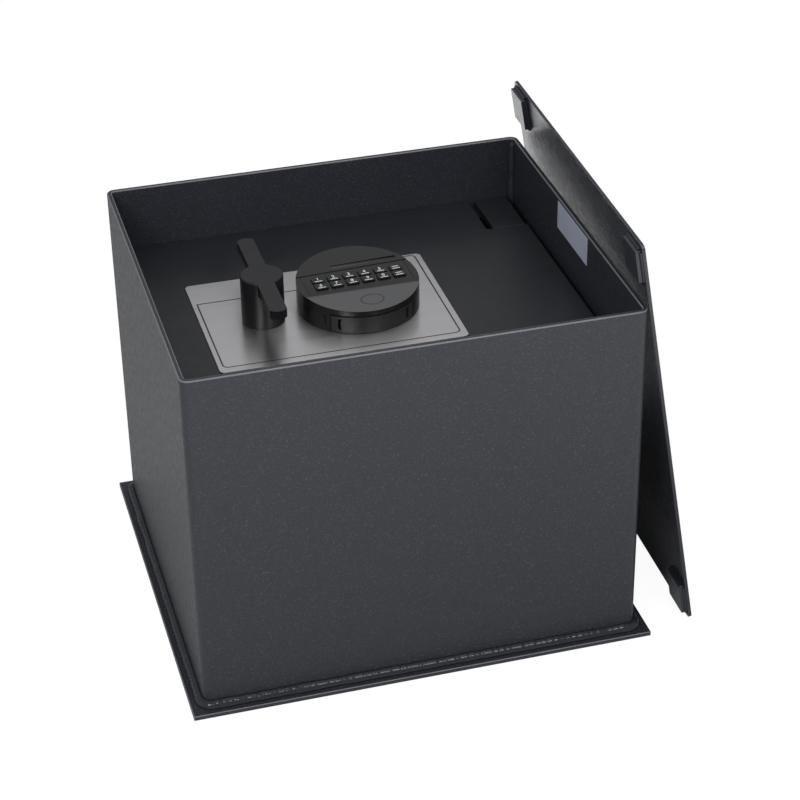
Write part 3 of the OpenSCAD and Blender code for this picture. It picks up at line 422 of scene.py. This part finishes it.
def bead_radius(run, leg, ripple, seed):
    """The leg of a weld bead at a length along it: overlapping scales and a slow wander."""
    scale_share = RIPPLE_SHARE * abs(math.sin(math.pi * run / ripple)) ** RIPPLE_SHARPNESS
    wander_share = WANDER_SHARE * noise.noise(Vector((run * WANDERS_PER_M, seed, 0.0)))
    lump_share = LUMP_SHARE * noise.noise(Vector((run * LUMPS_PER_M, seed + LUMP_SHIFT, 0.0)))
    return leg * min(LEAST_LEG_SHARE + scale_share + wander_share + lump_share, 1.0)


def bead_ring(corner, out, up, leg):
    """A bead's section in the corner between a face along up and a face along out."""
    ring = [corner]
    for i in range(ARC_STEPS + 1):
        turn = i / ARC_STEPS * math.pi / 2
        ring.append(corner + out * (leg * math.cos(turn)) + up * (leg * math.sin(turn)))
    return ring


def outward(quarters):
    """A level direction at a number of quarter turns from +X."""
    angle = quarters * math.pi / 2
    return Vector((math.cos(angle), math.sin(angle), 0))


def foot_path(half_w, half_d, z):
    """The foot of the body, as points with their outward direction and the length to the next one."""
    path = []
    centres = ((half_w, half_d), (-half_w, half_d), (-half_w, -half_d), (half_w, -half_d))
    for quarter, (x, y) in enumerate(centres):
        centre = Vector((x, y, z))
        for i in range(BEND_STEPS):
            out = outward(quarter + i / BEND_STEPS)
            path.append((centre + out * BODY_BEND, out, BODY_BEND * math.pi / 2 / BEND_STEPS))
        out = outward(quarter + 1)
        ahead = Vector((-out.y, out.x, 0))
        length = 2 * (half_w if quarter % 2 == 0 else half_d)
        count = int(length / BASE_STEP)
        for i in range(count):
            path.append((centre + out * BODY_BEND + ahead * (length * i / count), out, length / count))
    return path


def base_bead():
    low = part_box("base_weld")[0]
    body_low, body_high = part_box("body_shell")
    leg = body_low.x - low.x
    stations = []
    run = 0.0
    for foot, out, length in foot_path(body_high.x - BODY_BEND, body_high.y - BODY_BEND, low.z):
        stations.append(bead_ring(foot, out, UP, bead_radius(run, leg, BASE_RIPPLE, BASE_SEED)))
        run += length
    points, faces = sweep(stations, closed=True)
    piece = mesh_piece("base_bead", points, faces, weld_paint)
    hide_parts("base_weld")
    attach(piece, "safe")


def corner_bead():
    low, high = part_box("corner_weld")
    leg = high.x - low.x
    start = Vector((high.x, high.y, low.z))
    end = Vector((high.x, high.y, high.z))
    length = (end - start).length
    count = int(length / CORNER_STEP)
    stations = []
    for i in range(count + 1):
        run = length * i / count
        corner = start + (end - start) * (i / count)
        fade = min(1.0, (run + CORNER_TIP) / CORNER_FADE, (length - run + CORNER_TIP) / CORNER_FADE)
        radius = bead_radius(run, leg, CORNER_RIPPLE, CORNER_SEED) * fade
        stations.append(bead_ring(corner, Vector((-1, 0, 0)), Vector((0, -1, 0)), radius))
    points, faces = sweep(stations, closed=False)
    piece = mesh_piece("corner_bead", points, faces, body_paint)
    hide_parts("corner_weld")
    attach(piece, "safe")


base_bead()
corner_bead()


# Keypad frame: its sloping top, as in the part's source

KEYPAD_CENTRE = Vector((-4.5 * MM, 5.4 * MM, 241.2 * MM))
KEYPAD_TURN = math.radians(3)
KEYPAD_D = 96.4 * MM
KEYPAD_FRONT_H = 19.5 * MM
KEYPAD_BACK_H = 26.5 * MM
KEYPAD_TILT = math.atan((KEYPAD_BACK_H - KEYPAD_FRONT_H) / KEYPAD_D)

on_top = (Matrix.Translation(KEYPAD_CENTRE) @ Matrix.Rotation(KEYPAD_TURN, 4, "Z")
          @ Matrix.Translation((0, 0, (KEYPAD_FRONT_H + KEYPAD_BACK_H) / 2))
          @ Matrix.Rotation(KEYPAD_TILT, 4, "X"))

# All prints are this high over the surface that they lie on, and as deep in it
PRINT_RISE = 0.03 * MM
# A printed line's section, as sides across it and levels
PRINT_SECTION = ((-1, -1), (1, -1), (1, 1), (-1, 1))


# Key marks: a figure over an underline, or two bars on the keys without a figure

KEY_MARKS = ("1", "2", "3", "4", "5", "", "6", "7", "8", "9", "0", "")
KEYS_IN_ROW = 6
KEY_SPACING_X = 12.7 * MM
KEY_SPACING_Y = 9.3 * MM
KEYS_X = 1.4 * MM
KEY_ROW_Y = 6.2 * MM
KEY_TOP = 0.4 * MM
FIGURE_H = 4.8 * MM
FIGURE_Y = 0.9 * MM
FIGURE_WEIGHT_SHARE = 0.022
FIGURE_STEPS = 3
# Left, right, front and back edges
UNDERLINE_MM = (-3.0, 3.0, -2.6, -1.7)
UPPER_BAR_MM = (-2.6, 2.6, 0.2, 1.1)


def bar_print(edges_mm):
    left, right, front, back = (edge * MM for edge in edges_mm)
    return slab(left, right, front, back, -PRINT_RISE, PRINT_RISE)


def figure_print(text):
    """A figure of the built-in font as points and faces."""
    curve = bpy.data.curves.new("figure", "FONT")
    curve.body = text
    curve.size = FIGURE_H
    curve.extrude = PRINT_RISE
    curve.align_x = "CENTER"
    curve.align_y = "CENTER"
    curve.resolution_u = FIGURE_STEPS
    curve.offset = FIGURE_H * FIGURE_WEIGHT_SHARE
    holder = bpy.data.objects.new("figure", curve)
    bpy.context.scene.collection.objects.link(holder)
    shape = holder.evaluated_get(bpy.context.evaluated_depsgraph_get())
    mesh = bpy.data.meshes.new_from_object(shape)
    points = [(v.co.x, v.co.y + FIGURE_Y, v.co.z) for v in mesh.vertices]
    faces = [tuple(face.vertices) for face in mesh.polygons]
    bpy.data.objects.remove(holder)
    bpy.data.curves.remove(curve)
    bpy.data.meshes.remove(mesh)
    return points, faces


def key_marks():
    middle = (KEYS_IN_ROW - 1) / 2
    for i, mark in enumerate(KEY_MARKS):
        row, column = divmod(i, KEYS_IN_ROW)
        spot = (KEYS_X + (column - middle) * KEY_SPACING_X, KEY_ROW_Y - row * KEY_SPACING_Y, KEY_TOP)
        place = on_top @ Matrix.Translation(spot)
        upper = figure_print(mark) if mark else bar_print(UPPER_BAR_MM)
        points, faces = joined(bar_print(UNDERLINE_MM), upper)
        piece = mesh_piece("key_print_%d" % (i + 1), [place @ Vector(p) for p in points], faces,
                           mark_white, smooth=False)
        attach(piece, "key_%d" % (i + 1))


key_marks()


# Printed line inside the face plate's edge, which leaves out the plate's back left part

LINE_LEFT = -126 * MM
LINE_RIGHT = 59.7 * MM
LINE_FRONT = -60.4 * MM
LINE_BACK = 70.6 * MM
LINE_STEP_X = 22 * MM
LINE_STEP_Y = 41 * MM
LINE_CORNER_R = 4 * MM
LINE_HALF = 0.55 * MM
LINE_CORNER_STEPS = 6
LEAST_MITRE = 0.5


def rounded_path(corners):
    """A closed path through corners given as (x, y, radius)."""
    path = []
    count = len(corners)
    for i, (x, y, radius) in enumerate(corners):
        here = Vector((x, y))
        before = (Vector(corners[i - 1][:2]) - here).normalized()
        after = (Vector(corners[(i + 1) % count][:2]) - here).normalized()
        if radius == 0:
            path.append(here)
            continue
        centre = here + (before + after) * radius
        for k in range(LINE_CORNER_STEPS + 1):
            turn = k / LINE_CORNER_STEPS * math.pi / 2
            path.append(centre - after * (radius * math.cos(turn)) - before * (radius * math.sin(turn)))
    return path


def plate_line():
    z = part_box("face_plate")[1].z
    path = rounded_path((
        (LINE_LEFT, LINE_FRONT, LINE_CORNER_R),
        (LINE_RIGHT, LINE_FRONT, LINE_CORNER_R),
        (LINE_RIGHT, LINE_BACK, LINE_CORNER_R),
        (LINE_STEP_X, LINE_BACK, 0),
        (LINE_STEP_X, LINE_STEP_Y, 0),
        (LINE_LEFT, LINE_STEP_Y, 0),
    ))
    stations = []
    for i, here in enumerate(path):
        ahead = (path[(i + 1) % len(path)] - here).normalized()
        behind = (here - path[i - 1]).normalized()
        side = (ahead + behind).normalized()
        out = Vector((side.y, -side.x))
        reach = LINE_HALF / max(LEAST_MITRE, math.sqrt((1 + ahead.dot(behind)) / 2))
        ring = []
        for across, level in PRINT_SECTION:
            spot = here + out * (across * reach)
            ring.append(Vector((spot.x, spot.y, z + level * PRINT_RISE)))
        stations.append(ring)
    points, faces = sweep(stations, closed=True)
    piece = mesh_piece("plate_line", points, faces, line_black, smooth=False)
    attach(piece, "door")


plate_line()


# Oval ring in the front of the keypad's top, left bare inside

RING_CENTRE = (1.8 * MM, -32.3 * MM)
RING_RADII = (9.0 * MM, 6.9 * MM)
RING_HALF = 0.35 * MM
RING_STEPS = 64


def keypad_ring():
    stations = []
    for i in range(RING_STEPS):
        turn = 2 * math.pi * i / RING_STEPS
        ring = []
        for across, level in PRINT_SECTION:
            spot = (RING_CENTRE[0] + (RING_RADII[0] + across * RING_HALF) * math.cos(turn),
                    RING_CENTRE[1] + (RING_RADII[1] + across * RING_HALF) * math.sin(turn),
                    level * PRINT_RISE)
            ring.append(on_top @ Vector(spot))
        stations.append(ring)
    points, faces = sweep(stations, closed=True)
    piece = mesh_piece("keypad_ring", points, faces, line_black, smooth=False)
    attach(piece, "door")


keypad_ring()


# Floor and world

FLOOR_REACH = 6.0
FLOOR_DROP = 0.2 * MM
FLOOR_TONE = (0.8, 0.8, 0.8, 1.0)
FLOOR_ROUGHNESS = 0.9
FLOOR_WHITE = 1.12
FLOOR_WHITE_SHARE = 0.85
SKY_TINT = (0.95, 0.97, 1.0, 1.0)
SKY_STRENGTH = 0.3
WHITE = (1.0, 1.0, 1.0, 1.0)

# Zones of the floor that glossy surfaces see as bright: a strength, then the edges that bound it,
# each an axis and where along it the glow starts and is full
FLOOR_GLOWS = (
    (0.9, (("Y", -0.5, -0.75),)),
    (0.8, (("Y", 0.28, 0.5), ("X", -0.2, -0.1))),
    (0.3, (("X", 0.25, 0.4), ("Y", 0.2, 0.1))),
)


def floor_edge(tree, coordinate, start, end):
    """1 past an edge in one of the floor's coordinates, and 0 before it."""
    edge = tree.nodes.new("ShaderNodeMapRange")
    edge.inputs["From Min"].default_value = start
    edge.inputs["From Max"].default_value = end
    tree.links.new(coordinate, edge.inputs["Value"])
    return edge.outputs["Result"]


def floor_sum(tree, operation, first, second):
    result = tree.nodes.new("ShaderNodeMath")
    result.operation = operation
    for socket, value in zip(result.inputs, (first, second)):
        if isinstance(value, float):
            socket.default_value = value
        else:
            tree.links.new(value, socket)
    return result.outputs["Value"]


def floor_glow(tree, rays):
    """Light that only glossy rays see, in the zones of FLOOR_GLOWS."""
    coords = tree.nodes.new("ShaderNodeTexCoord")
    place = tree.nodes.new("ShaderNodeSeparateXYZ")
    tree.links.new(coords.outputs["Object"], place.inputs["Vector"])
    total = 0.0
    for strength, edges in FLOOR_GLOWS:
        zone = strength
        for axis, start, end in edges:
            edge = floor_edge(tree, place.outputs[axis], start, end)
            zone = floor_sum(tree, "MULTIPLY", edge, zone)
        total = floor_sum(tree, "ADD", total, zone)
    glow = tree.nodes.new("ShaderNodeEmission")
    seen = floor_sum(tree, "MULTIPLY", total, rays.outputs["Is Glossy Ray"])
    tree.links.new(seen, glow.inputs["Strength"])
    return glow


def floor_material():
    """Pale floor that keeps its shadow, white to the eye and, away from the safe, in reflections."""
    material = bpy.data.materials.new("pale floor")
    material.use_nodes = True
    tree = material.node_tree
    matte = tree.nodes["Principled BSDF"]
    matte.inputs["Base Color"].default_value = FLOOR_TONE
    matte.inputs["Roughness"].default_value = FLOOR_ROUGHNESS
    white = tree.nodes.new("ShaderNodeEmission")
    white.inputs["Strength"].default_value = FLOOR_WHITE
    rays = tree.nodes.new("ShaderNodeLightPath")
    share = floor_sum(tree, "MULTIPLY", rays.outputs["Is Camera Ray"], FLOOR_WHITE_SHARE)
    mix = tree.nodes.new("ShaderNodeMixShader")
    tree.links.new(share, mix.inputs["Fac"])
    tree.links.new(matte.outputs["BSDF"], mix.inputs[1])
    tree.links.new(white.outputs["Emission"], mix.inputs[2])
    both = tree.nodes.new("ShaderNodeAddShader")
    tree.links.new(mix.outputs["Shader"], both.inputs[0])
    tree.links.new(floor_glow(tree, rays).outputs["Emission"], both.inputs[1])
    tree.links.new(both.outputs["Shader"], tree.nodes["Material Output"].inputs["Surface"])
    return material


def pale_floor():
    mesh = bpy.data.meshes.new("floor")
    reach = FLOOR_REACH
    corners = [(-reach, -reach, 0), (reach, -reach, 0), (reach, reach, 0), (-reach, reach, 0)]
    mesh.from_pydata(corners, [], [(0, 1, 2, 3)])
    mesh.materials.append(floor_material())
    floor = bpy.data.objects.new("floor", mesh)
    bpy.context.scene.collection.objects.link(floor)
    floor.location.z = -FLOOR_DROP


def pale_world():
    """A faint even light that the camera sees as white."""
    world = bpy.data.worlds.new("studio")
    bpy.context.scene.world = world
    world.use_nodes = True
    tree = world.node_tree
    soft = tree.nodes["Background"]
    soft.inputs["Color"].default_value = SKY_TINT
    soft.inputs["Strength"].default_value = SKY_STRENGTH
    white = tree.nodes.new("ShaderNodeBackground")
    white.inputs["Color"].default_value = WHITE
    rays = tree.nodes.new("ShaderNodeLightPath")
    mix = tree.nodes.new("ShaderNodeMixShader")
    tree.links.new(rays.outputs["Is Camera Ray"], mix.inputs["Fac"])
    tree.links.new(soft.outputs["Background"], mix.inputs[1])
    tree.links.new(white.outputs["Background"], mix.inputs[2])
    tree.links.new(mix.outputs["Shader"], tree.nodes["World Output"].inputs["Surface"])


pale_floor()
pale_world()


# Studio lamps, most of them aimed at the middle of the safe

LAMP_TARGET = (0, 0, 0.2)


def softbox(name, place, side, watts, target=LAMP_TARGET, glints=True):
    """A square lamp. Without glints it lights surfaces but isn't seen in their gloss."""
    light = bpy.data.lights.new(name, "AREA")
    light.shape = "SQUARE"
    light.size = side
    light.energy = watts
    lamp = bpy.data.objects.new(name, light)
    lamp.location = place
    lamp.rotation_euler = (Vector(target) - Vector(place)).to_track_quat("-Z", "Y").to_euler()
    lamp.visible_glossy = glints
    bpy.context.scene.collection.objects.link(lamp)


softbox("near left", (-0.6, -0.9, 0.9), side=0.4, watts=4.4)
softbox("near right", (0.4, -1.2, 1.3), side=0.5, watts=3, glints=False)
softbox("weld glint", (0.25, -0.75, 1.0), side=0.3, watts=1.6, target=(0, 0, 0.1))
softbox("left", (-2.0, -0.2, 0.7), side=1.0, watts=0.9)
softbox("left high", (-0.9, 0.1, 1.3), side=0.5, watts=0.6, target=(0.1, 0, 0.25), glints=False)
softbox("left back", (-1.7, 0.9, 0.9), side=0.8, watts=0.2)
softbox("overhead", (0.2, 0.1, 1.6), side=0.8, watts=3.2)
softbox("back", (0.3, 1.2, 1.5), side=0.8, watts=0.5)


# The photograph's camera, solved from the box of the body. It looks straight down before it tilts,
# turns by its heading about Z, and rolls about its own axis.

EYE = (-0.38285, -1.507705, 1.111324)
CAMERA_HEADING = math.radians(-15.2004)
CAMERA_TILT = math.radians(58.3947)
CAMERA_ROLL = math.radians(-0.9475)
LENS_MM = 102.265
SENSOR_MM = 36.0
CLIP_END = 50


def camera():
    data = bpy.data.cameras.new("camera")
    data.lens = LENS_MM
    data.sensor_width = SENSOR_MM
    data.clip_end = CLIP_END
    view = bpy.data.objects.new("camera", data)
    turn = (Matrix.Rotation(CAMERA_HEADING, 4, "Z") @ Matrix.Rotation(CAMERA_TILT, 4, "X")
            @ Matrix.Rotation(CAMERA_ROLL, 4, "Z"))
    view.matrix_world = Matrix.Translation(EYE) @ turn
    bpy.context.scene.collection.objects.link(view)
    bpy.context.scene.camera = view


camera()

scene = bpy.context.scene
scene.view_settings.view_transform = "Standard"
